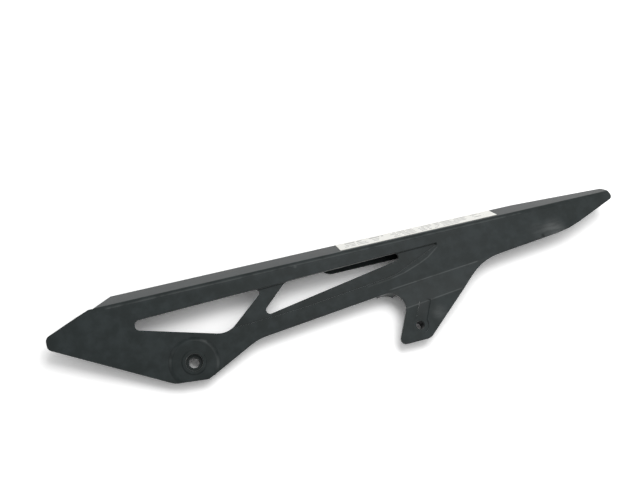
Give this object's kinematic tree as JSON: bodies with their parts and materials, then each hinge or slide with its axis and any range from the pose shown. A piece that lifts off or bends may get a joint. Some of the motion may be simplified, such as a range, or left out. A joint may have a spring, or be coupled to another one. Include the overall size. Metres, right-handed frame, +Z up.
{
  "type": "motorcycle chain guard",
  "caption": "Moulded side guard for a drive chain, with triangular windows, a leaning top face, a hanging inner wall, a bolt boss and a stepped rear tab.",
  "frame": {"origin": "under the middle of the guard's outline, on the surface that it lies on", "axes": "+X along the crease from nose to tail, +Z up from the surface that it lies on, +Y across it from the rear tab to the top face"},
  "size_m": [0.522, 0.1066, 0.0262],
  "materials": {
    "guard": "fine moulded grain, soft sheen",
    "label": "matt printed film"
  },
  "bodies": {
    "root": {"guard": "guard", "label": "label"}
  },
  "joints": []
}
